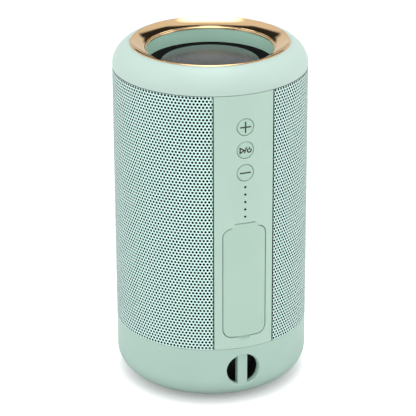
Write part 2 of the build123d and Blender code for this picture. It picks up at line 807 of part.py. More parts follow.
# ---------------------------------------------------------------- passive radiator
with BuildPart() as radiator_gasket:
    with BuildSketch(Plane.XY.offset(HOUSE_TOP + 0.01)):
        Circle(35.2)
        Circle(27.4, mode=Mode.SUBTRACT)
        with PolarLocations(32.3, 4, start_angle=45):
            Circle(1.3, mode=Mode.SUBTRACT)
    extrude(amount=0.38)

with BuildPart() as radiator_frame:
    with BuildSketch(Plane.XZ):
        with BuildLine():
            Polyline(
                (26.6, 134.4), (35.5, 134.4), (35.5, 136.2), (29.6, 136.2),
                (29.6, 137.88), (26.6, 137.88), close=True,
            )
        make_face()
    revolve(axis=Axis.Z)
    with BuildSketch(Plane.XY.offset(134)):
        with PolarLocations(32.3, 4, start_angle=45):
            Circle(1.25)
    extrude(amount=3, mode=Mode.SUBTRACT)

with BuildPart() as radiator_screws:
    with BuildSketch(Plane.XY.offset(136.22)):
        with PolarLocations(32.3, 4, start_angle=45):
            Circle(2.2)
    extrude(amount=1.4)
    with BuildSketch(Plane.XY.offset(129.6)):
        with PolarLocations(32.3, 4, start_angle=45):
            Circle(1.1)
    extrude(amount=7.0)

with BuildPart() as radiator_surround:
    # rubber ring: outer flange on the frame, a curved skirt that drops inwards, and an inner
    # flange under the plate
    with BuildSketch(Plane.XZ):
        with Locations((27.7, 138.3)):
            Rectangle(3.6, 0.8)
        with Locations((18.6, 135.4)):
            Rectangle(4.4, 0.8)
        with BuildLine():
            Line((25.95, 137.95), (26.3, 138.7))
            Spline(
                (26.3, 138.7), (25.3, 138.2), (24.3, 137.1), (22.9, 136.15), (20.75, 135.8),
                tangents=((-1, 0), (-1, 0)),
            )
            Line((20.75, 135.8), (20.75, 135.05))
            Spline(
                (20.75, 135.05), (23.1, 135.45), (24.8, 136.5), (25.95, 137.95),
                tangents=((1, 0), (0.4, 0.9)),
            )
        make_face()
    revolve(axis=Axis.Z)

with BuildPart() as radiator_plate:
    with BuildSketch(Plane.XZ):
        with BuildLine():
            Polyline(
                (0, 140.45), (0, 134.6), (12.0, 134.6), (12.0, 135.82), (19.9, 135.82),
                (20.3, 136.2), (20.3, 139.45), (20.0, 139.65),
            )
            ThreePointArc((20.0, 139.65), dome_mid(20.0, 139.65, 140.45), (0, 140.45))
        make_face()
    revolve(axis=Axis.Z)
    # light: the back of the disc is hollowed out
    with BuildSketch(Plane.XY.offset(134.0)):
        Circle(18.9)
        Circle(13.0, mode=Mode.SUBTRACT)
    extrude(amount=4.6, mode=Mode.SUBTRACT)

# ---------------------------------------------------------------- top cap and trim ring
SHOULDER_N = 1.63
shoulder = [
    (
        RING_R + 0.05 + (BODY_R - RING_R - 0.05) * math.cos(t) ** (2 / SHOULDER_N),
        139.4 + (RING_Z - 0.05 - 139.4) * math.sin(t) ** (2 / SHOULDER_N),
    )
    for t in [math.radians(d) for d in (0, 12, 24, 36, 48, 60, 72, 82, 89.99)]
]
with BuildPart() as top_cap:
    with BuildSketch(Plane.XZ):
        with BuildLine():
            Polyline((BODY_R - 0.2, Z_CAP_BOTTOM), (BODY_R, Z_CAP_BOTTOM + 0.2), (BODY_R, 139.4))
            Spline(*shoulder, tangents=((0, 1), (-0.75, 0.42)))
            Polyline(
                shoulder[-1], (RING_R + 0.05, 146.83), (28.9, 144.62), (WELL_R, 144.62),
                (WELL_R, 138.8), (28.2, 138.8), (28.2, 142.1), (33.4, 144.9), (36.9, 142.3),
                (38.2, 139.4), (38.2, 138.6), (37.3, 138.6), (37.3, 134.4), (39.2, 134.4),
                (39.2, Z_CAP_BOTTOM), (BODY_R - 0.2, Z_CAP_BOTTOM),
            )
        make_face()
    revolve(axis=Axis.Z)

with BuildPart() as trim_ring:
    with BuildSketch(Plane.XZ):
        with BuildLine():
            Line((RING_R, 146.9), (RING_R, RING_Z))
            ThreePointArc((RING_R, RING_Z), (33.0, 148.18), (CREST_R, CREST_Z))
            ThreePointArc((CREST_R, CREST_Z), (29.6, 146.58), (27.15, 145.7))
            Line((27.15, 145.7), (27.05, 145.45))
            ThreePointArc((27.05, 145.45), (26.55, 145.37), (26.3, 145.0))
            Polyline((26.3, 145.0), (26.3, 144.69), (28.87, 144.69), (RING_R, 146.9))
        make_face()
    revolve(axis=Axis.Z)

# ---------------------------------------------------------------- write the pieces
pieces = {
    "base_cup": base_cup,
    "lanyard_pocket": lanyard_pocket,
    "foot_ring": foot_ring,
    "base_screws": base_screws,
    "acoustic_housing": housing,
    "grille": grille,
    "acoustic_cloth": acoustic_cloth,
    "control_panel": control_panel,
    "key_gasket": key_gasket,
    "light_guide": light_guide,
    "key_board": key_board,
    "tact_switches": tact_switches,
    "status_leds": status_leds,
    "microphone": microphone,
    "volume_up_button": volume_up_button,
    "play_button": play_button,
    "volume_down_button": volume_down_button,
    "volume_up_plunger": volume_up_plunger,
    "play_plunger": play_plunger,
    "volume_down_plunger": volume_down_plunger,
    "port_cover": port_cover,
    "cover_strap": cover_strap,
    "port_tray": port_tray,
    "tray_gasket": tray_gasket,
    "port_board": port_board,
    "aux_jack": aux_jack,
    "card_slot": card_slot,
    "usb_socket": usb_socket,
    "battery_cells": battery_cells,
    "battery_holder": battery_holder,
    "pcb_spacers": pcb_spacers,
    "main_board": main_board,
    "bluetooth_module": bluetooth_module,
    "amplifier_chip": amplifier_chip,
    "capacitors": capacitors,
    "board_screws": board_screws,
    "lead_connectors": lead_connectors,
    "speaker_leads": speaker_leads,
    "driver_gaskets": driver_gaskets,
    "driver_screws": driver_screws,
    "left_driver_basket": left_basket,
    "left_driver_magnet": left_magnet,
    "left_driver_cone": left_cone,
    "left_driver_surround": left_surround,
    "left_driver_spider": left_spider,
    "right_driver_basket": right_basket,
    "right_driver_magnet": right_magnet,
    "right_driver_cone": right_cone,
    "right_driver_surround": right_surround,
    "right_driver_spider": right_spider,
    "radiator_gasket": radiator_gasket,
    "radiator_frame": radiator_frame,
    "radiator_screws": radiator_screws,
    "radiator_surround": radiator_surround,
    "radiator_plate": radiator_plate,
    "top_cap": top_cap,
    "trim_ring": trim_ring,
}
for label, piece in pieces.items():
    piece.part.label = label
    export_step(piece.part, f"parts/{label}.step")
print(len(pieces), "pieces")
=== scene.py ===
"""Looks of the portable bluetooth speaker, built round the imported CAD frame."""
import json
import math

import bmesh
import bpy
import numpy as np
from mathutils import Matrix, Vector


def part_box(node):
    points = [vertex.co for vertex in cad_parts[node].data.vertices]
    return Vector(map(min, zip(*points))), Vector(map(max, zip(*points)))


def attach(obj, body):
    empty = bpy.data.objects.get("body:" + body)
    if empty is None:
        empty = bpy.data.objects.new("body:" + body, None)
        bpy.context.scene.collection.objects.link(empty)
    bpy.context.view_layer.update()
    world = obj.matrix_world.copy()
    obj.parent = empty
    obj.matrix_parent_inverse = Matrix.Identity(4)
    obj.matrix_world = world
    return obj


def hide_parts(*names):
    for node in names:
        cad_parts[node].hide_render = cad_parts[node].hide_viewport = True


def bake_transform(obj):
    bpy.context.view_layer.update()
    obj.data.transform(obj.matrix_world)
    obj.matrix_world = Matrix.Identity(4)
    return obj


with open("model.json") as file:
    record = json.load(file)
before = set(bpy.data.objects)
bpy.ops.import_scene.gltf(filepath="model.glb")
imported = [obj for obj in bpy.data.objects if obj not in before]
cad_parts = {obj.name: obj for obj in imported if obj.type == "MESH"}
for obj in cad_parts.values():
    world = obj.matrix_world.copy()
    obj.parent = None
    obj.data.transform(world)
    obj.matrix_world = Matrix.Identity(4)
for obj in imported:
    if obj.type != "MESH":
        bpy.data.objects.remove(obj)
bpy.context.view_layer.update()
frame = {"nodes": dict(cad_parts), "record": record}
NODES = frame["nodes"]
MM = 0.001
R = 40.5  # body radius, mm
Z0 = 0.8  # the base stands this far above the floor, on its rubber foot
rng = np.random.default_rng(7)
scene = bpy.context.scene

# ------------------------------------------------------------------ camera
cam = bpy.data.objects.new("camera", bpy.data.cameras.new("camera"))
scene.collection.objects.link(cam)
scene.camera = cam
cam.data.sensor_width = 36.0
cam.data.lens = 187.98
turn, pitch, roll, yaw = (math.radians(a) for a in (-20.35, 22.42572, -0.228628, -0.075872))
right = Vector((math.cos(yaw), -math.sin(yaw), 0))
ahead = Vector((math.sin(yaw) * math.cos(pitch), math.cos(yaw) * math.cos(pitch), -math.sin(pitch)))
up = right.cross(ahead)
r2 = right * math.cos(roll) + up * math.sin(roll)
u2 = -right * math.sin(roll) + up * math.cos(roll)
spin = Matrix.Rotation(turn, 3, "Z")
place = spin @ Vector((0, -0.85295, 0.42455)) + Vector((0, 0, Z0 * MM))
basis = Matrix([spin @ r2, spin @ u2, spin @ -ahead]).transposed()
cam.matrix_world = Matrix.Translation(place) @ basis.to_4x4()
cam.data.clip_start, cam.data.clip_end = 0.01, 50.0


# ------------------------------------------------------------------ helpers
def link(name, verts, faces, smooth=True, angle=35):
    me = bpy.data.meshes.new(name)
    me.from_pydata([tuple(v) for v in verts], [], [tuple(f) for f in faces])
    me.validate()
    me.update()
    ob = bpy.data.objects.new(name, me)
    scene.collection.objects.link(ob)
    if smooth:
        shade(ob, angle)
    return ob


def shade(ob, angle=35):
    me = ob.data
    me.polygons.foreach_set("use_smooth", [True] * len(me.polygons))
    me.set_sharp_from_angle(angle=math.radians(angle))


def cyl(x, z, r=R):
    """Point on a cylinder of radius r, x across the panel, z up, in metres."""
    return (x * MM, -math.sqrt(max(r * r - x * x, 0)) * MM, z * MM)


# ------------------------------------------------------------------ material kit
def srgb(r, g, b):
    return tuple(
        (c / 255 / 12.92) if c / 255 <= 0.04045 else ((c / 255 + 0.055) / 1.055) ** 2.4
        for c in (r, g, b)
    ) + (1.0,)


class Mat:
    """A Principled material whose colour, roughness and bump come from procedural nodes."""

    def __init__(self, name, **fixed):
        self.m = bpy.data.materials.new(name)
        self.m.use_nodes = True
        self.nt = self.m.node_tree
        self.nt.nodes.clear()
        self.out = self.nt.nodes.new("ShaderNodeOutputMaterial")
        self.p = self.nt.nodes.new("ShaderNodeBsdfPrincipled")
        self.nt.links.new(self.p.outputs[0], self.out.inputs[0])
        self.tc = self.nt.nodes.new("ShaderNodeTexCoord")
        for k, v in fixed.items():
            self.p.inputs[k.replace("_", " ")].default_value = v

    def node(self, kind, **props):
        n = self.nt.nodes.new(kind)
        for k, v in props.items():
            setattr(n, k, v)
        return n

    def wire(self, a, b):
        self.nt.links.new(a, b)

    def space(self, scale=(1, 1, 1)):
        """Object coordinates, stretched."""
        n = self.node("ShaderNodeMapping")
        n.inputs["Scale"].default_value = scale
        self.wire(self.tc.outputs["Object"], n.inputs["Vector"])
        return n.outputs[0]

    def noise(self, scale, detail=3.0, rough=0.5, vector=None, distort=0.0):
        n = self.node("ShaderNodeTexNoise")
        n.inputs["Scale"].default_value = scale
        n.inputs["Detail"].default_value = detail
        n.inputs["Roughness"].default_value = rough
        n.inputs["Distortion"].default_value = distort
        self.wire(vector or self.tc.outputs["Object"], n.inputs["Vector"])
        return n.outputs["Fac"]

    def remap(self, value, lo, hi, from_lo=0.3, from_hi=0.7):
        n = self.node("ShaderNodeMapRange")
        self.wire(value, n.inputs["Value"])
        n.inputs["From Min"].default_value = from_lo
        n.inputs["From Max"].default_value = from_hi
        n.inputs["To Min"].default_value = lo
        n.inputs["To Max"].default_value = hi
        return n.outputs[0]

    def math(self, op, a, b=None):
        n = self.node("ShaderNodeMath", operation=op)
        for i, v in enumerate((a, b)):
            if v is None:
                continue
            if isinstance(v, (int, float)):
                n.inputs[i].default_value = v
            else:
                self.wire(v, n.inputs[i])
        return n.outputs[0]

    def mix(self, fac, a, b, blend="MIX"):
        n = self.node("ShaderNodeMix", data_type="RGBA", blend_type=blend)
        if isinstance(fac, (int, float)):
            n.inputs[0].default_value = fac
        else:
            self.wire(fac, n.inputs[0])
        for sock, v in ((n.inputs[6], a), (n.inputs[7], b)):
            if isinstance(v, tuple):
                sock.default_value = v
            else:
                self.wire(v, sock)
        return n.outputs[2]

    def color(self, c):
        self.wire(c, self.p.inputs["Base Color"])
        return self

    def rough(self, c):
        self.wire(c, self.p.inputs["Roughness"])
        return self

    def bump(self, height, strength=0.3, distance=0.02, normal=None):
        n = self.node("ShaderNodeBump")
        n.inputs["Strength"].default_value = strength
        n.inputs["Distance"].default_value = distance * MM
        self.wire(height, n.inputs["Height"])
        if normal is not None:
            self.wire(normal, n.inputs["Normal"])
        self.wire(n.outputs[0], self.p.inputs["Normal"])
        return n.outputs[0]


def moulded(name, base, tint, rough=(0.42, 0.52), grain=2600, strength=0.25, distance=0.012, **fixed):
    """Injection-moulded plastic: slow colour drift, fine spark-eroded grain."""
    m = Mat(name, **fixed)
    slow = m.noise(45, 2)
    fine = m.noise(grain, 4, 0.6)
    c = m.mix(m.remap(slow, 0, 1), base, tint)
    c = m.mix(m.remap(fine, 0, 0.10), c, tuple(v * 0.80 for v in base[:3]) + (1,))
    m.color(c)
    m.rough(m.remap(m.math("ADD", m.math("MULTIPLY", slow, 0.5), m.math("MULTIPLY", fine, 0.5)), *rough))
    m.bump(fine, strength, distance)
    return m.m


MINT = srgb(184, 210, 194)
MINT2 = srgb(180, 207, 191)
mint = moulded("mint_plastic", MINT, MINT2, (0.40, 0.50), 3200, 0.22, 0.010, IOR=1.46)
mint_cap = moulded("mint_plastic_cap", srgb(192, 213, 202), srgb(189, 211, 199), (0.36, 0.46), 3200, 0.18, 0.010, IOR=1.46)
mint_base = moulded("mint_plastic_base", srgb(175, 202, 188), srgb(171, 199, 185), (0.38, 0.48), 3200, 0.20, 0.010, IOR=1.46)
mint_rubber = moulded("mint_rubber", srgb(180, 207, 190), srgb(176, 204, 187), (0.55, 0.66), 3800, 0.30, 0.012, IOR=1.44)
black_plastic = moulded("black_plastic", srgb(24, 24, 26), srgb(18, 18, 20), (0.45, 0.6), 2400, 0.4, 0.02)
black_rubber = moulded("black_rubber", srgb(6, 6, 7), srgb(4, 4, 5), (0.6, 0.8), 2000, 0.5, 0.02, Specular_IOR_Level=0.12)
foam = moulded("foam_gasket", srgb(30, 30, 31), srgb(20, 20, 21), (0.85, 0.95), 1800, 0.8, 0.12)
resin = moulded("chip_resin", srgb(26, 26, 27), srgb(20, 20, 21), (0.5, 0.65), 3000, 0.3, 0.01)
white_plastic = moulded("white_plastic", srgb(226, 222, 210), srgb(215, 211, 199), (0.4, 0.5), 2600, 0.2, 0.01)

# painted steel of the grille
m = Mat("painted_grille", IOR=1.5)
slow, fine = m.noise(38, 2), m.noise(2200, 4, 0.6)
m.color(m.mix(m.remap(slow, 0, 1), srgb(212, 243, 234), srgb(208, 240, 230)))
m.rough(m.remap(fine, 0.30, 0.42))
m.bump(fine, 0.25, 0.01)
paint = m.m
# painted shade: the grille's hole walls, back and closed rims are near black, and its turned edges beside the panel
# dark green, standing for the shade inside the holes and in the gap; on the real sheet they carry the face's paint. The
# near-black also serves the microphone's mesh
shaded = moulded("folded_edge", srgb(44, 86, 68), srgb(38, 78, 61), (0.75, 0.9), 2400, 0.3, 0.01, Specular_IOR_Level=0.1)
punched = moulded("punched_steel", srgb(9, 15, 13), srgb(6, 11, 9), (0.75, 0.9), 2400, 0.3, 0.01, Specular_IOR_Level=0.06)

# polished anodised ring: faint turning marks that follow the circle
m = Mat("gold_metal", Metallic=1.0)
sep = m.node("ShaderNodeSeparateXYZ")
m.wire(m.tc.outputs["Object"], sep.inputs[0])
rad = m.math("SQRT", m.math("ADD", m.math("POWER", sep.outputs[0], 2.0), m.math("POWER", sep.outputs[1], 2.0)))
comb = m.node("ShaderNodeCombineXYZ")
m.wire(rad, comb.inputs[0])
m.wire(sep.outputs[2], comb.inputs[2])
turned = m.noise(9000, 3, 0.6, comb.outputs[0])
slow = m.noise(60, 2)
m.color(m.mix(m.remap(slow, 0, 1), srgb(233, 197, 149), srgb(228, 191, 142)))
m.rough(m.remap(turned, 0.05, 0.12))
m.bump(turned, 0.05, 0.003)
gold = m.m

# satin grey disc of the radiator, spun
m = Mat("grey_metal", Metallic=0.85)
sep = m.node("ShaderNodeSeparateXYZ")
m.wire(m.tc.outputs["Object"], sep.inputs[0])
rad = m.math("SQRT", m.math("ADD", m.math("POWER", sep.outputs[0], 2.0), m.math("POWER", sep.outputs[1], 2.0)))
comb = m.node("ShaderNodeCombineXYZ")
m.wire(rad, comb.inputs[0])
turned = m.noise(7000, 4, 0.65, comb.outputs[0])
m.color(m.mix(m.remap(turned, 0, 1), srgb(140, 143, 145), srgb(128, 131, 133)))
m.rough(m.remap(turned, 0.20, 0.30))
m.bump(turned, 0.08, 0.005)
grey = m.m


def metal(name, a, b, rough=(0.25, 0.4), scale=1500, metallic=1.0):
    m = Mat(name, Metallic=metallic)
    n = m.noise(scale, 4, 0.6, m.space((1, 1, 0.08)))
    m.color(m.mix(m.remap(n, 0, 1), a, b))
    m.rough(m.remap(n, *rough))
    m.bump(n, 0.15, 0.005)
    return m.m


steel = metal("steel_parts", srgb(186, 187, 190), srgb(168, 169, 172))
dark_steel = metal("dark_steel", srgb(44, 44, 46), srgb(34, 34, 36), (0.4, 0.5), 1200, 0.6)
magnet = metal("magnet_steel", srgb(120, 121, 124), srgb(98, 99, 102), (0.35, 0.5), 900)
can = metal("capacitor_can", srgb(206, 207, 209), srgb(192, 193, 196))
brass = metal("brass_spacer", srgb(214, 182, 112), srgb(200, 168, 98))

# circuit board: solder mask with traces and pads
m = Mat("circuit_board", IOR=1.5)
v = m.node("ShaderNodeTexVoronoi", feature="DISTANCE_TO_EDGE", distance="MANHATTAN")
v.inputs["Scale"].default_value = 420
m.wire(m.tc.outputs["Object"], v.inputs["Vector"])
trace = m.remap(v.outputs["Distance"], 1, 0, 0.03, 0.06)
c = m.mix(m.remap(m.noise(300, 2), 0, 1), srgb(18, 84, 52), srgb(14, 72, 44))
m.color(m.mix(trace, c, srgb(46, 122, 78)))
m.rough(m.remap(m.noise(900, 3), 0.25, 0.4))
m.bump(trace, 0.4, 0.03)
board = m.m

# woven cloths
def woven(name, a, b, scale, rough=(0.8, 0.95), strength=0.8, distance=0.05):
    m = Mat(name, Specular_IOR_Level=0.1)
    sep = m.node("ShaderNodeSeparateXYZ")
    m.wire(m.tc.outputs["Object"], sep.inputs[0])
    ang = m.math("MULTIPLY", m.math("ARCTAN2", sep.outputs[0], sep.outputs[1]), 0.0396)
    sx = m.math("SINE", m.math("MULTIPLY", ang, scale))
    sz = m.math("SINE", m.math("MULTIPLY", sep.outputs[2], scale))
    h = m.math("MULTIPLY", sx, sz)
    m.color(m.mix(m.remap(h, 0, 1, -1, 1), a, b))
    m.rough(m.remap(m.noise(1500, 3), *rough))
    m.bump(h, strength, distance)
    return m.m


cloth = woven("black_cloth", srgb(5, 6, 6), srgb(9, 10, 10), 9000)
spider = woven("spider_cloth", srgb(190, 150, 70), srgb(168, 130, 58), 7000)

m = Mat("clear_plastic", IOR=1.5, Specular_IOR_Level=0.08)
m.color(m.mix(m.remap(m.noise(200, 2), 0, 1), srgb(7, 9, 9), srgb(4, 6, 6)))
m.rough(m.remap(m.noise(1800, 3), 0.4, 0.55))
m.bump(m.noise(1500, 3), 0.1, 0.005)
guide = m.m


def glossy(name, a, b, rough=(0.2, 0.32)):
    m = Mat(name, IOR=1.5)
    n = m.noise(900, 3)
    m.color(m.mix(m.remap(m.noise(120, 2), 0, 1), a, b))
    m.rough(m.remap(n, *rough))
    m.bump(n, 0.12, 0.008)
    return m.m


led = glossy("led_package", srgb(236, 226, 150), srgb(228, 216, 138))
wrap = glossy("battery_wrap", srgb(30, 96, 130), srgb(24, 84, 118))
wire = glossy("red_wire", srgb(170, 34, 28), srgb(150, 28, 24))

# paper cone: dark paper with a fine noise grain in colour, roughness and bump
m = Mat("paper_cone")
n = m.noise(1400, 5, 0.7)
m.color(m.mix(m.remap(n, 0, 1), srgb(40, 40, 43), srgb(30, 30, 33)))
m.rough(m.remap(n, 0.7, 0.9))
m.bump(n, 0.5, 0.05)
cone = m.m

# ink of the key marks
ink = moulded("key_ink", srgb(20, 28, 26), srgb(14, 20, 18), (0.4, 0.55), 2600, 0.15, 0.006)

BY_SLOT = {
    "mint_plastic": mint, "mint_rubber": mint_rubber, "painted_grille": paint, "black_cloth": cloth,
    "black_plastic": black_plastic, "black_rubber": black_rubber, "foam_gasket": foam,
    "clear_plastic": guide, "circuit_board": board, "led_package": led, "steel_parts": steel,
    "brass_spacer": brass, "battery_wrap": wrap, "chip_resin": resin, "capacitor_can": can,
    "white_plastic": white_plastic, "red_wire": wire, "dark_steel": dark_steel,
    "magnet_steel": magnet, "paper_cone": cone, "spider_cloth": spider, "grey_metal": grey,
    "gold_metal": gold,
}
SLOT_OF = {s["node"]: s["material_slot"] for s in frame["record"]["subparts"]}
# painted light: within about 27 mm of the axis, the cap's well wall gets a lighter, greener mint than the cap, standing
# for the light that falls on it
nodes, links = mint_cap.node_tree.nodes, mint_cap.node_tree.links
shader = next(n for n in nodes if n.type == "BSDF_PRINCIPLED")
before = shader.inputs["Base Color"].links[0].from_socket
coord = next(n for n in nodes if n.type == "TEX_COORD")
length = nodes.new("ShaderNodeVectorMath")
length.operation = "LENGTH"
flatten = nodes.new("ShaderNodeVectorMath")
flatten.operation = "MULTIPLY"
flatten.inputs[1].default_value = (1, 1, 0)
links.new(coord.outputs["Object"], flatten.inputs[0])
links.new(flatten.outputs[0], length.inputs[0])
inner = nodes.new("ShaderNodeMapRange")
inner.inputs["From Min"].default_value, inner.inputs["From Max"].default_value = 0.0272, 0.0268
links.new(length.outputs["Value"], inner.inputs["Value"])
well_wall_painted_light = nodes.new("ShaderNodeMix")
well_wall_painted_light.data_type = "RGBA"
links.new(inner.outputs[0], well_wall_painted_light.inputs[0])
links.new(before, well_wall_painted_light.inputs[6])
well_wall_painted_light.inputs[7].default_value = srgb(190, 232, 212)
links.new(well_wall_painted_light.outputs[2], shader.inputs["Base Color"])

BY_NODE = {"top_cap": mint_cap, "base_cup": mint_base}
for name, ob in NODES.items():
    ob.data.materials.clear()
    ob.data.materials.append(BY_NODE.get(name) or BY_SLOT[SLOT_OF[name]])


# ------------------------------------------------------------------ perforated grille
HALF = 1.070  # half column pitch, degrees
ROW = 1.309  # row pitch, mm
Z_LOW = 26.21 + Z0  # lowest row of holes
ROWS = 85
HOLE = 0.53
EDGE = 19.1  # where the sheet stops beside the panel, degrees
PHASE = -5.11 - 20.35  # a hole column, degrees
lo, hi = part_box("grille")
SHEET_LO, SHEET_HI = lo[2] / MM, hi[2] / MM
R_OUT, R_IN = R - 0.015, R - 0.6


def on_sheet(theta, z, r):
    t = math.radians(theta)
    return (r * math.sin(t) * MM, -r * math.cos(t) * MM, z * MM)


def grille_sector(name, first, last, cut_low=None, cut_high=None):
    """Cells of hole columns first..last (half-column numbers), a closed sheet with real holes."""
    verts, faces, back, corner = [], [], [], {}

    def corners(I, K, side):
        key = (I, K, side)
        if key not in corner:
            z = Z_LOW + K * ROW / 3
            if K <= -1:
                z = SHEET_LO
            if K >= 3 * (ROWS - 1) + 1:
                z = SHEET_HI
            corner[key] = len(verts)
            verts.append(on_sheet(PHASE + I * HALF, z, R_OUT if side else R_IN))
        return corner[key]

    arc = HOLE / (R * math.radians(1))  # hole radius in degrees
    ring = [(math.cos(a) * arc, math.sin(a) * HOLE) for a in [math.radians(30 * k) for k in range(12)]]
    for j in range(ROWS):
        for i in range(first, last + 1):
            if (i - j) % 2:
                continue
            th, z = PHASE + i * HALF, Z_LOW + j * ROW
            hole = {}
            for side in (0, 1):
                r = R_OUT if side else R_IN
                base = len(verts)
                verts.extend(on_sheet(th + du, z + dz, r) for du, dz in ring)
                h = hole[side] = [base + k for k in range(12)]
                K = 3 * j
                c = [corners(i + 1, K + 1, side), corners(i, K + 2, side), corners(i - 1, K + 1, side),
                     corners(i - 1, K - 1, side), corners(i, K - 2, side), corners(i + 1, K - 1, side)]
                # ring point k lies at 30k degrees, cell corner q at 30 + 60q degrees
                f = []
                for q in range(6):
                    a, b = 2 * q + 1, (2 * q + 3) % 12
                    f.append((h[a - 1], c[q], h[a]))
                    f.append((h[a], c[q], h[(a + 1) % 12]))
                    f.append((h[(a + 1) % 12], c[q], c[(q + 1) % 6]))
                faces.extend(f if side else [tuple(reversed(t)) for t in f])
                back.extend([1 - side] * len(f))
            for k in range(12):
                a, b = k, (k + 1) % 12
                faces.append((hole[1][a], hole[1][b], hole[0][b], hole[0][a]))
                back.append(1)
    me = bpy.data.meshes.new(name)
    me.from_pydata(verts, [], faces)
    me.polygons.foreach_set("material_index", back)
    bm = bmesh.new()
    bm.from_mesh(me)
    # close the rims: top, bottom and the two ends between neighbouring sectors
    for theta, keep_above in ((cut_low, True), (cut_high, False)):
        if theta is None:
            continue
        t = math.radians(theta)
        n = Vector((math.cos(t), math.sin(t), 0))  # towards growing theta
        got = bmesh.ops.bisect_plane(
            bm, geom=bm.verts[:] + bm.edges[:] + bm.faces[:], dist=1e-7, plane_co=(0, 0, 0),
            plane_no=n, clear_inner=keep_above, clear_outer=not keep_above,
        )
    open_edges = [e for e in bm.edges if len(e.link_faces) == 1]
    # pair outer and inner boundary vertices and bridge them
    outer, inner = {}, {}
    for e in open_edges:
        r = [math.hypot(v.co.x, v.co.y) / MM for v in e.verts]
        if min(r) > R - 0.3:
            outer[e] = e
    table = {}
    for e in open_edges:
        for v in e.verts:
            rr = math.hypot(v.co.x, v.co.y)
            key = (round(math.atan2(v.co.x, -v.co.y) * 4e5), round(v.co.z * 4e7))
            table.setdefault(key, {})["o" if rr > (R - 0.3) * MM else "i"] = v
    def twin(v):
        a, b = round(math.atan2(v.co.x, -v.co.y) * 4e5), round(v.co.z * 4e7)
        for da in (0, -1, 1):
            for db in (0, -1, 1):
                q = table.get((a + da, b + db))
                if q and "i" in q:
                    return q["i"]
        return None
    for e in list(outer):
        a, b = e.verts
        ta, tb = twin(a), twin(b)
        if ta and tb and ta is not tb:
            try:
                f = bm.faces.new((a, b, tb, ta))
                f.material_index = 1
            except ValueError:
                pass
    bmesh.ops.recalc_face_normals(bm, faces=bm.faces[:])
    bm.to_mesh(me)
    bm.free()
    ob = bpy.data.objects.new(name, me)
    scene.collection.objects.link(ob)
    shade(ob, 50)
    ob.data.materials.append(paint)
    # slot 1: near-black painted shade on the hole walls, the sheet's back and the closed rims
    ob.data.materials.append(punched)
    return ob


# half-column numbers run left from the panel round the back to its right side
I_HIGH = int(math.ceil((-EDGE - PHASE) / HALF)) + 1
I_LOW = int(math.floor((-360 + EDGE - PHASE) / HALF)) - 1
SECTORS = 6
marks = [round(I_LOW + (I_HIGH - I_LOW) * k / SECTORS) for k in range(SECTORS + 1)]
sheets = []
for k in range(SECTORS):
    a, b = marks[k], marks[k + 1] - 1 + (k == SECTORS - 1)
    sheets.append((a, b))
gap = math.radians(EDGE)
grille_parts = []
for k, (a, b) in enumerate(sheets):
    ob = grille_sector(
        f"grille_sheet_{k + 1}", a, b,
        cut_low=(-360 + EDGE) if k == 0 else None,
        cut_high=-EDGE if k == SECTORS - 1 else None,
    )
    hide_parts("grille")
    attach(ob, "root")
    grille_parts.append(ob)


def grille_fold(name, side):
    """The sheet's edge turned inwards beside the panel, with a rounded outer corner."""
    z0, z1 = SHEET_LO, min(SHEET_HI, 134.2)
    t = side * math.radians(EDGE)
    u = Vector((math.sin(t), -math.cos(t), 0))
    v = Vector((math.cos(t), math.sin(t), 0)) * side
    prof = [(38.5, 0.0), (39.7, 0.0), (39.86, 0.02), (39.87, 0.30), (39.87, 0.58), (38.6, 0.58), (38.5, 0.5)]
    verts = []
    for z in (z0, z1):
        for r, w in prof:
            p = u * r + v * w
            verts.append((p.x * MM, p.y * MM, z * MM))
    n = len(prof)
    faces = [(i, (i + 1) % n, n + (i + 1) % n, n + i) for i in range(n)]
    faces += [tuple(reversed(range(n))), tuple(range(n, 2 * n))]
    ob = link(name, verts, faces, True, 40)
    bm = bmesh.new()
    bm.from_mesh(ob.data)
    bmesh.ops.recalc_face_normals(bm, faces=bm.faces[:])
    bm.to_mesh(ob.data)
    bm.free()
    # painted shade: the turned edge is dark green, standing for the shade in the gap beside the panel
    ob.data.materials.append(shaded)
    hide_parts("grille")
    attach(ob, "root")


grille_fold("grille_fold_left", -1)
grille_fold("grille_fold_right", 1)

# ------------------------------------------------------------------ door strap
# flexible tongue: moulded into the door's top edge, flush with the panel, then down the slot
lo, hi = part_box("port_cover")
DOOR_TOP = hi[2] / MM
lo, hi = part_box("cover_strap")
STRAP_TOP = hi[2] / MM
HALF_W, TONGUE_W = 5.705, 4.35
# outer face from the door up to the slot, then back along the tongue, mm: (z, radius)
shared = [
    (79.45, 40.46), (79.55, 40.500), (79.8, 40.503), (80.05, 40.503), (80.3, 40.503), (80.55, 40.503),
    (80.8, 40.503), (81.05, 40.503), (81.3, 40.503),
]
middle = [
    (81.48, 40.497), (81.64, 40.465), (81.80, 40.39), (81.94, 40.27), (82.06, 40.10), (82.14, 39.88),
    (82.18, 39.5), (82.18, 38.9), (82.18, 38.2), (82.18, 37.5), (81.22, 37.5), (81.22, 38.2), (81.22, 38.9),
    (81.16, 39.25), (80.95, 39.44),
]
beside = [
    (81.48, 40.503), (81.64, 40.503), (81.775, 40.503), (81.79, 40.49), (81.79, 40.4), (81.79, 40.3),
    (81.79, 40.2), (81.79, 40.1), (81.79, 40.0), (81.79, 39.9), (81.7, 39.8), (81.6, 39.7), (81.4, 39.6),
    (81.2, 39.5), (81.0, 39.5),
]
under_side = [
    (80.6, 39.50), (80.3, 39.50), (80.15, 39.6), (80.05, 39.8), (79.9, 40.0), (79.7, 40.2), (79.5, 40.36),
]
cols = [-HALF_W, -5.2, -4.8, -TONGUE_W - 0.04] + list(np.linspace(-TONGUE_W, TONGUE_W, 21)) \
    + [TONGUE_W + 0.04, 4.8, 5.2, HALF_W]
verts = []
for x in cols:
    section = shared + (middle if abs(x) < TONGUE_W + 0.01 else beside) + under_side
    verts += [cyl(x, z, r) for z, r in section]
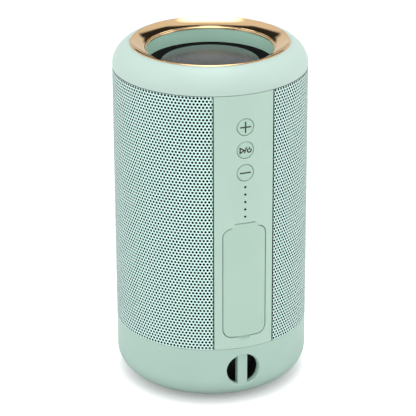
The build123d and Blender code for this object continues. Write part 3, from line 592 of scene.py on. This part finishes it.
n = len(section)
faces = []
for i in range(len(cols) - 1):
    for k in range(n):
        faces.append((i * n + k, (i + 1) * n + k, (i + 1) * n + (k + 1) % n, i * n + (k + 1) % n))
faces.append(tuple(range(n)))
faces.append(tuple(reversed(range((len(cols) - 1) * n, len(cols) * n))))
strap = link("cover_strap_bending", verts, faces, True, 50)
bm = bmesh.new()
bm.from_mesh(strap.data)
bmesh.ops.triangulate(bm, faces=[f for f in bm.faces if len(f.verts) > 4])
bmesh.ops.recalc_face_normals(bm, faces=bm.faces[:])
bm.to_mesh(strap.data)
bm.free()
strap.data.materials.append(mint_rubber)
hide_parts("cover_strap")
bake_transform(strap)

# ------------------------------------------------------------------ radiator surround
lo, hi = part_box("radiator_surround")


def lathe(name, profile, mat, steps=192, closed=True, angle=40):
    verts, faces = [], []
    n = len(profile)
    for s in range(steps):
        a = 2 * math.pi * s / steps
        for r, z in profile:
            verts.append((r * math.cos(a) * MM, r * math.sin(a) * MM, z * MM))
    last = n if closed else n - 1
    for s in range(steps):
        t = (s + 1) % steps
        for k in range(last):
            q = (k + 1) % n
            faces.append((s * n + k, t * n + k, t * n + q, s * n + q))
    ob = link(name, verts, faces, True, angle)
    bm = bmesh.new()
    bm.from_mesh(ob.data)
    bmesh.ops.recalc_face_normals(bm, faces=bm.faces[:])
    bm.to_mesh(ob.data)
    bm.free()
    shade(ob, angle)
    ob.data.materials.append(mat)
    return ob


def smooth_line(points, per=6):
    """Catmull-Rom points through the given ones."""
    out = []
    for i in range(len(points) - 1):
        p0, p1, p2, p3 = points[max(i - 1, 0)], points[i], points[i + 1], points[min(i + 2, len(points) - 1)]
        for s in range(per):
            t = s / per
            out.append(tuple(
                0.5 * (2 * b + (c - a) * t + (2 * a - 5 * b + 4 * c - d) * t * t + (3 * b - a - 3 * c + d) * t ** 3)
                for a, b, c, d in zip(p0, p1, p2, p3)))
    out.append(points[-1])
    return out


top = smooth_line([(26.3, 138.68), (25.3, 138.2), (24.3, 137.1), (22.9, 136.18), (20.75, 135.8)])
under = smooth_line([(20.75, 135.02), (23.1, 135.45), (24.8, 136.5), (25.95, 137.92)])
# fine moulded ribs that follow the circle
rib = [(r, z + 0.05 * math.sin(k * 1.9)) for k, (r, z) in enumerate(top[1:-1])]
profile = [(29.45, 138.68), top[0]] + rib + [top[-1], (16.45, 135.8), (16.45, 135.02)] + under + [(29.45, 137.92)]
ring = lathe("radiator_surround_rubber", profile, black_rubber)
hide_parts("radiator_surround")
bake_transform(ring)

# ------------------------------------------------------------------ driver surrounds
# radius from the driver's axis and height off the baffle: a fixed flange and half roll, then a web down to the cone
roll = [(22.7, 2.05)] + smooth_line([(21.95, 2.05), (21.55, 2.95), (20.5, 3.5), (19.5, 2.85), (19.25, 2.0)])
roll += [(18.5, 1.55), (17.4, 1.55), (17.4, 1.35), (18.5, 1.35)]
roll += smooth_line([(19.42, 1.82), (19.72, 2.65), (20.5, 3.25), (21.3, 2.75), (21.65, 1.83)]) + [(22.7, 1.83)]
BAFFLE, DRIVER_Z = 26.4, 103.0
for side, name in ((-1, "left"), (1, "right")):
    ob = lathe(name + "_surround_rubber", roll, black_rubber, 96)
    ob.data.transform(Matrix(((0, 0, side, side * BAFFLE * MM), (0, 1, 0, 0), (-side, 0, 0, DRIVER_Z * MM), (0, 0, 0, 1))))
    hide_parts(name + "_driver_surround")
    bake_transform(ob)


# ------------------------------------------------------------------ marks on the keys
def stroke_mesh(name, strokes, z_mid, body, r0=40.46, r1=40.525):
    """Printed marks, each a chain of points with a width, wrapped on the key's face."""
    verts, faces = [], []
    for pts, width, loop in strokes:
        pts = [Vector(p) for p in pts]
        n = len(pts)
        base = len(verts)
        for i, p in enumerate(pts):
            a = pts[i - 1] if (i or loop) else p
            b = pts[(i + 1) % n] if (i < n - 1 or loop) else p
            d1 = (p - a).normalized() if (p - a).length > 1e-9 else None
            d2 = (b - p).normalized() if (b - p).length > 1e-9 else None
            d = ((d1 or d2) + (d2 or d1)).normalized()
            nrm = Vector((-d.y, d.x))
            w = width / 2
            if d1 and d2:
                w /= max(abs(d.dot(d1)), 0.4)
            for s in (1, -1):
                q = p + nrm * (w * s)
                for r in (r1, r0):
                    verts.append(cyl(q.x, z_mid + q.y, r))
        segs = n if loop else n - 1
        for i in range(segs):
            a, b = base + 4 * i, base + 4 * ((i + 1) % n)
            faces += [(a, b, b + 2, a + 2), (a + 3, b + 3, b + 1, a + 1), (a + 1, b + 1, b, a), (a + 2, b + 2, b + 3, a + 3)]
        if not loop:
            a, b = base, base + 4 * (n - 1)
            faces += [(a, a + 2, a + 3, a + 1), (b + 1, b + 3, b + 2, b)]
    ob = link(name, verts, faces, False)
    bm = bmesh.new()
    bm.from_mesh(ob.data)
    bmesh.ops.recalc_face_normals(bm, faces=bm.faces[:])
    bm.to_mesh(ob.data)
    bm.free()
    ob.data.materials.append(ink)
    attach(ob, body)
    return ob


def key_z(node):
    lo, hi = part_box(node)
    return (lo[2] + hi[2]) / 2 / MM


def line(a, b, steps=8):
    return [(a[0] + (b[0] - a[0]) * t / steps, a[1] + (b[1] - a[1]) * t / steps) for t in range(steps + 1)]


stroke_mesh("volume_up_mark", [
    (line((-2.33, 0), (2.33, 0), 12), 0.58, False),
    (line((0, 0.262), (0, 2.38), 4), 0.58, False),
    (line((0, -2.38), (0, -0.262), 4), 0.58, False)], key_z("volume_up_button"), "volume_up_key")
stroke_mesh("volume_down_mark", [(line((-2.35, 0), (2.35, 0), 12), 0.58, False)],
            key_z("volume_down_button"), "volume_down_key")
arc = [(1.62 + 0.82 * math.sin(math.radians(a)), -0.22 + 0.82 * math.cos(math.radians(a)))
       for a in range(42, 319, 12)]
stroke_mesh("play_mark", [
    ([(-2.30, 1.02), (-2.30, -1.12), (-0.50, -0.05)], 0.54, True),
    (line((-0.50, -1.22), (0.50, 1.30), 4), 0.50, False),
    (arc, 0.54, False),
    (line((1.62, 0.02), (1.62, 1.16), 3), 0.54, False)], key_z("play_button"), "play_key")

# fine black mesh in the microphone's hole
verts, faces = [], []
for y in (-40.28, -39.9):
    verts += [(0.485 * math.cos(math.radians(15 * k)) * MM, y * MM, (key_z("microphone") + 0.485 * math.sin(math.radians(15 * k))) * MM)
              for k in range(24)]
faces = [tuple(range(24)), tuple(range(47, 23, -1))] + [(k, k + 24, (k + 1) % 24 + 24, (k + 1) % 24) for k in range(24)]
mesh = link("microphone_mesh", verts, faces, True, 40)
bm = bmesh.new()
bm.from_mesh(mesh.data)
bmesh.ops.recalc_face_normals(bm, faces=bm.faces[:])
bm.to_mesh(mesh.data)
bm.free()
mesh.data.materials.append(punched)
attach(mesh, "root")

# ------------------------------------------------------------------ studio
floor = bpy.data.objects.new("floor", bpy.data.meshes.new("floor"))
scene.collection.objects.link(floor)
floor.data.from_pydata([(-6, -6, 0), (6, -6, 0), (6, 6, 0), (-6, 6, 0)], [], [(0, 1, 2, 3)])
m = Mat("floor")
m.color(m.mix(m.remap(m.noise(3, 2), 0, 1), (0.66, 0.66, 0.66, 1), (0.65, 0.65, 0.65, 1)))
m.rough(m.remap(m.noise(60, 2), 0.85, 0.95))
# a light table: it glows round the object; near the foot it is also painted darker to the object's rays only and
# lighter to the camera only
sep = m.node("ShaderNodeSeparateXYZ")
m.wire(m.tc.outputs["Object"], sep.inputs[0])
away = m.math("SQRT", m.math("ADD", m.math("POWER", sep.outputs[0], 2.0), m.math("POWER", sep.outputs[1], 2.0)))
glow = m.node("ShaderNodeMapRange", interpolation_type="SMOOTHSTEP")
m.wire(away, glow.inputs["Value"])
glow.inputs["From Min"].default_value = 0.030
glow.inputs["From Max"].default_value = 0.046
glow.inputs["To Max"].default_value = 0.34
seen = m.node("ShaderNodeLightPath").outputs["Is Camera Ray"]
object_only_shade = m.node("ShaderNodeMapRange", interpolation_type="SMOOTHSTEP")
m.wire(away, object_only_shade.inputs["Value"])
object_only_shade.inputs["From Min"].default_value = 0.040
object_only_shade.inputs["From Max"].default_value = 0.066
object_only_shade.inputs["To Min"].default_value = -0.34
object_only_shade.inputs["To Max"].default_value = 0.0
camera_only_light = m.node("ShaderNodeMapRange", interpolation_type="SMOOTHSTEP")
m.wire(away, camera_only_light.inputs["Value"])
camera_only_light.inputs["From Min"].default_value = 0.050
camera_only_light.inputs["From Max"].default_value = 0.120
camera_only_light.inputs["To Min"].default_value = 0.24
camera_only_light.inputs["To Max"].default_value = 0.0
# painted shade and painted light: near the foot the floor is darker only to rays from the object, which shades the
# base's underside, and lifted only to the camera, which leaves a light contact shadow
unseen = m.math("MULTIPLY", m.math("SUBTRACT", 1.0, seen), object_only_shade.outputs[0])
level = m.math("ADD", m.math("ADD", glow.outputs[0], unseen), m.math("MULTIPLY", seen, camera_only_light.outputs[0]))
m.wire(m.math("MAXIMUM", level, 0.0), m.p.inputs["Emission Strength"])
m.p.inputs["Emission Color"].default_value = (1, 1, 1, 1)
floor.data.materials.append(m.m)

SKY_BASE, SKY_UP, SKY_FRONT, SKY_BACK = 0.40, 0.12, 0.08, 0.42
BOX, KEY, STRIP, FLAG = 3.2, 1.5, 1.3, 0.97
world = bpy.data.worlds.new("studio")
scene.world = world
world.use_nodes = True
nt = world.node_tree
nt.nodes.clear()


def wnode(kind, **inputs):
    n = nt.nodes.new(kind)
    for k, v in inputs.items():
        n.inputs[int(k[1:])].default_value = v
    return n


def wmath(op, a, b=0.0, c=0.0):
    n = nt.nodes.new("ShaderNodeMath")
    n.operation = op
    for i, v in enumerate((a, b, c)):
        if isinstance(v, (int, float)):
            n.inputs[i].default_value = v
        else:
            nt.links.new(v, n.inputs[i])
    return n.outputs[0]


def wstep(value, lo, hi):
    """0 below lo, 1 above hi, smooth between."""
    n = nt.nodes.new("ShaderNodeMapRange")
    n.interpolation_type = "SMOOTHSTEP"
    nt.links.new(value, n.inputs["Value"])
    n.inputs["From Min"].default_value = lo
    n.inputs["From Max"].default_value = hi
    return n.outputs[0]


tc = nt.nodes.new("ShaderNodeTexCoord")
sep = nt.nodes.new("ShaderNodeSeparateXYZ")
nt.links.new(tc.outputs["Generated"], sep.inputs[0])
dx, dy, dz = sep.outputs
# directions from the side of the lens: +1 towards it, -1 away from it, on the ground plane
lens = Vector((place.x, place.y, 0)).normalized()
front = wmath("ADD", wmath("MULTIPLY", dx, lens.x), wmath("MULTIPLY", dy, lens.y))
across = wmath("ADD", wmath("MULTIPLY", dx, -lens.y), wmath("MULTIPLY", dy, lens.x))
flat = wmath("SQRT", wmath("SUBTRACT", 1.0001, wmath("MULTIPLY", dz, dz)))
swing = wmath("DIVIDE", wmath("ABSOLUTE", across), flat)  # sine of the angle off the lens line
level = wmath("MULTIPLY_ADD", dz, SKY_UP, SKY_BASE)
level = wmath("MULTIPLY_ADD", wstep(front, 0.0, 0.9), SKY_FRONT, level)
level = wmath("MULTIPLY_ADD", wstep(front, 0.0, -0.25), SKY_BACK, level)
# black flag behind the object, between the low band and the open sky
rise = wmath("SUBTRACT", dz, wmath("MULTIPLY", wstep(swing, 0.14, 0.30), 0.10))
flag = wmath("MULTIPLY", wstep(rise, 0.30, 0.37), wstep(dz, 0.83, 0.77))
flag = wmath("MULTIPLY", flag, wmath("MULTIPLY", wstep(front, -0.2, -0.3), wstep(swing, 0.56, 0.44)))
level = wmath("MULTIPLY", level, wmath("SUBTRACT", 1.0, wmath("MULTIPLY", flag, FLAG)))
# overhead softbox and a frontal one above the lens
level = wmath("MULTIPLY_ADD", wstep(dz, 0.895, 0.975), BOX, level)
kz = 0.68
key = wmath("ADD", wmath("MULTIPLY", front, math.sqrt(1 - kz * kz)), wmath("MULTIPLY", dz, kz))
level = wmath("MULTIPLY_ADD", wstep(key, 0.90, 0.95), KEY, level)
# upright strip lights on both sides, a little in front of the object
for side, turn_deg in ((-1, 72), (1, 84)):
    t = math.radians(turn_deg)
    aim = wmath("ADD", wmath("MULTIPLY", front, math.cos(t)), wmath("MULTIPLY", across, side * math.sin(t)))
    aim = wmath("DIVIDE", aim, flat)
    strip = wmath("MULTIPLY", wstep(aim, 0.955, 0.985), wstep(dz, 0.75, 0.55))
    level = wmath("MULTIPLY_ADD", strip, STRIP, level)
bg = nt.nodes.new("ShaderNodeBackground")
wout = nt.nodes.new("ShaderNodeOutputWorld")
nt.links.new(bg.outputs[0], wout.inputs[0])
tint = nt.nodes.new("ShaderNodeMix")
tint.data_type = "RGBA"
nt.links.new(wstep(dz, 0.0, 0.8), tint.inputs[0])
tint.inputs[6].default_value = (0.98, 1.0, 1.0, 1)
tint.inputs[7].default_value = (0.985, 1.0, 1.035, 1)
nt.links.new(tint.outputs[2], bg.inputs[0])
nt.links.new(level, bg.inputs[1])

scene.view_settings.view_transform = "Standard"
scene.view_settings.look = "None"
scene.view_settings.exposure = 0.0
